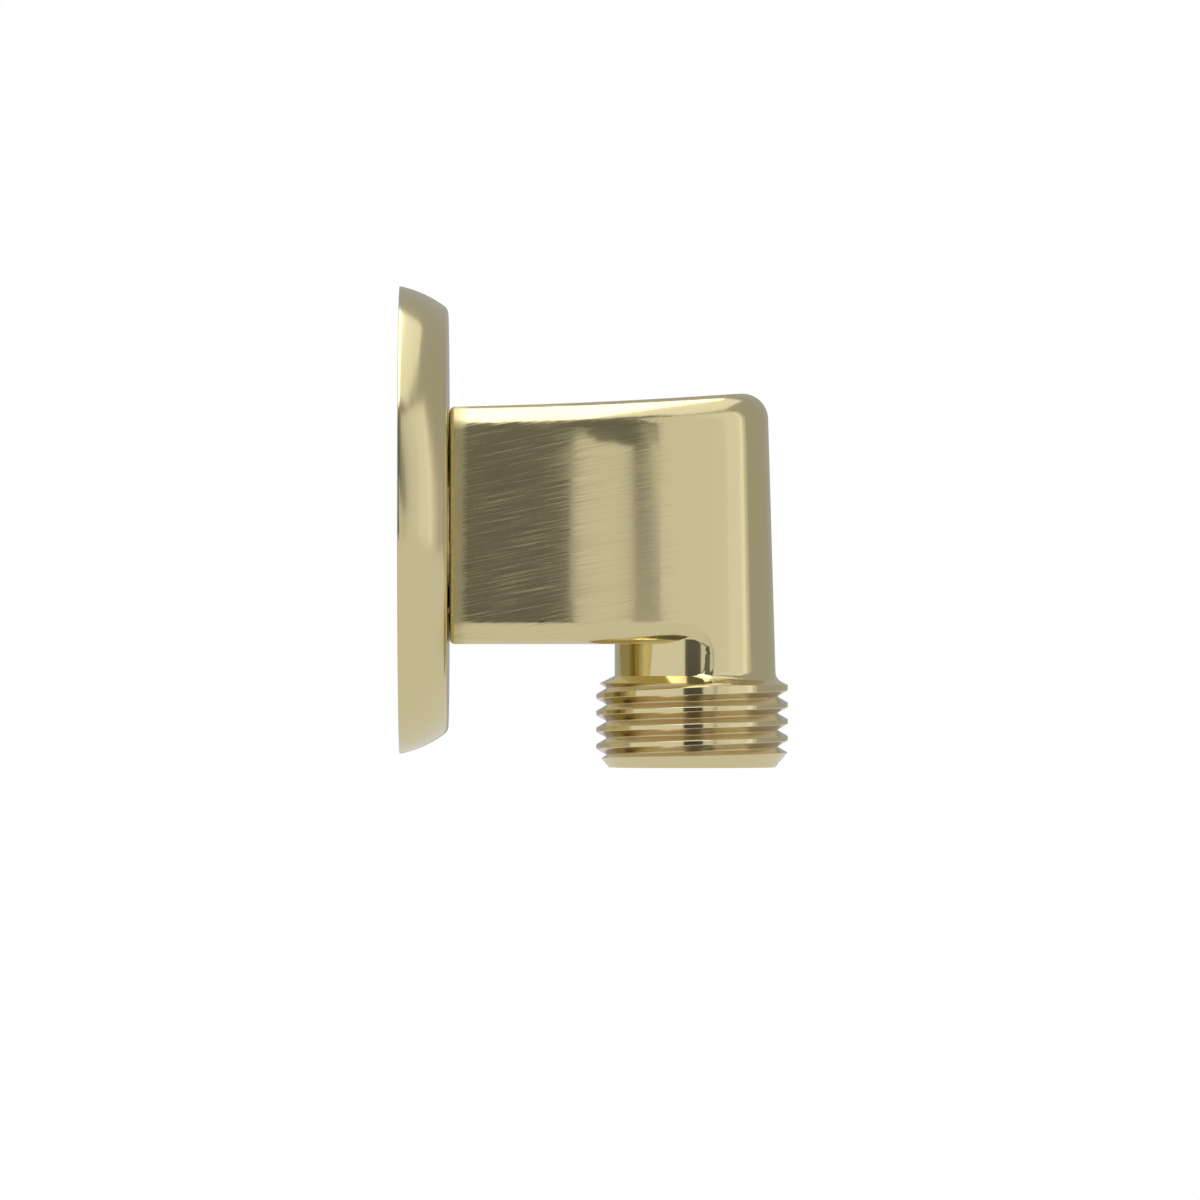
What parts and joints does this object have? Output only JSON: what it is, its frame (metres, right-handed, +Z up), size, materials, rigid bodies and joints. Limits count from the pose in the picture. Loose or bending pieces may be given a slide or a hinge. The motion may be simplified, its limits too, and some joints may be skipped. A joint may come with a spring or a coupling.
{
  "type": "wall outlet elbow",
  "caption": "Wall outlet elbow for a shower hose: a dished round flange carries a round-nosed brass block that turns the water down into a male threaded outlet.",
  "frame": {"origin": "on the inlet axis, in the plane of the finished wall that the flange's rim sits on", "axes": "+X straight out of the wall along the inlet axis, +Z up, the threaded outlet points down along -Z"},
  "size_m": [0.0421, 0.0508, 0.0523],
  "materials": {
    "satin_brass": "satin brushed, pale brass tone"
  },
  "bodies": {
    "root": {"elbow_body": "satin_brass", "wall_flange": "satin_brass"}
  },
  "joints": []
}
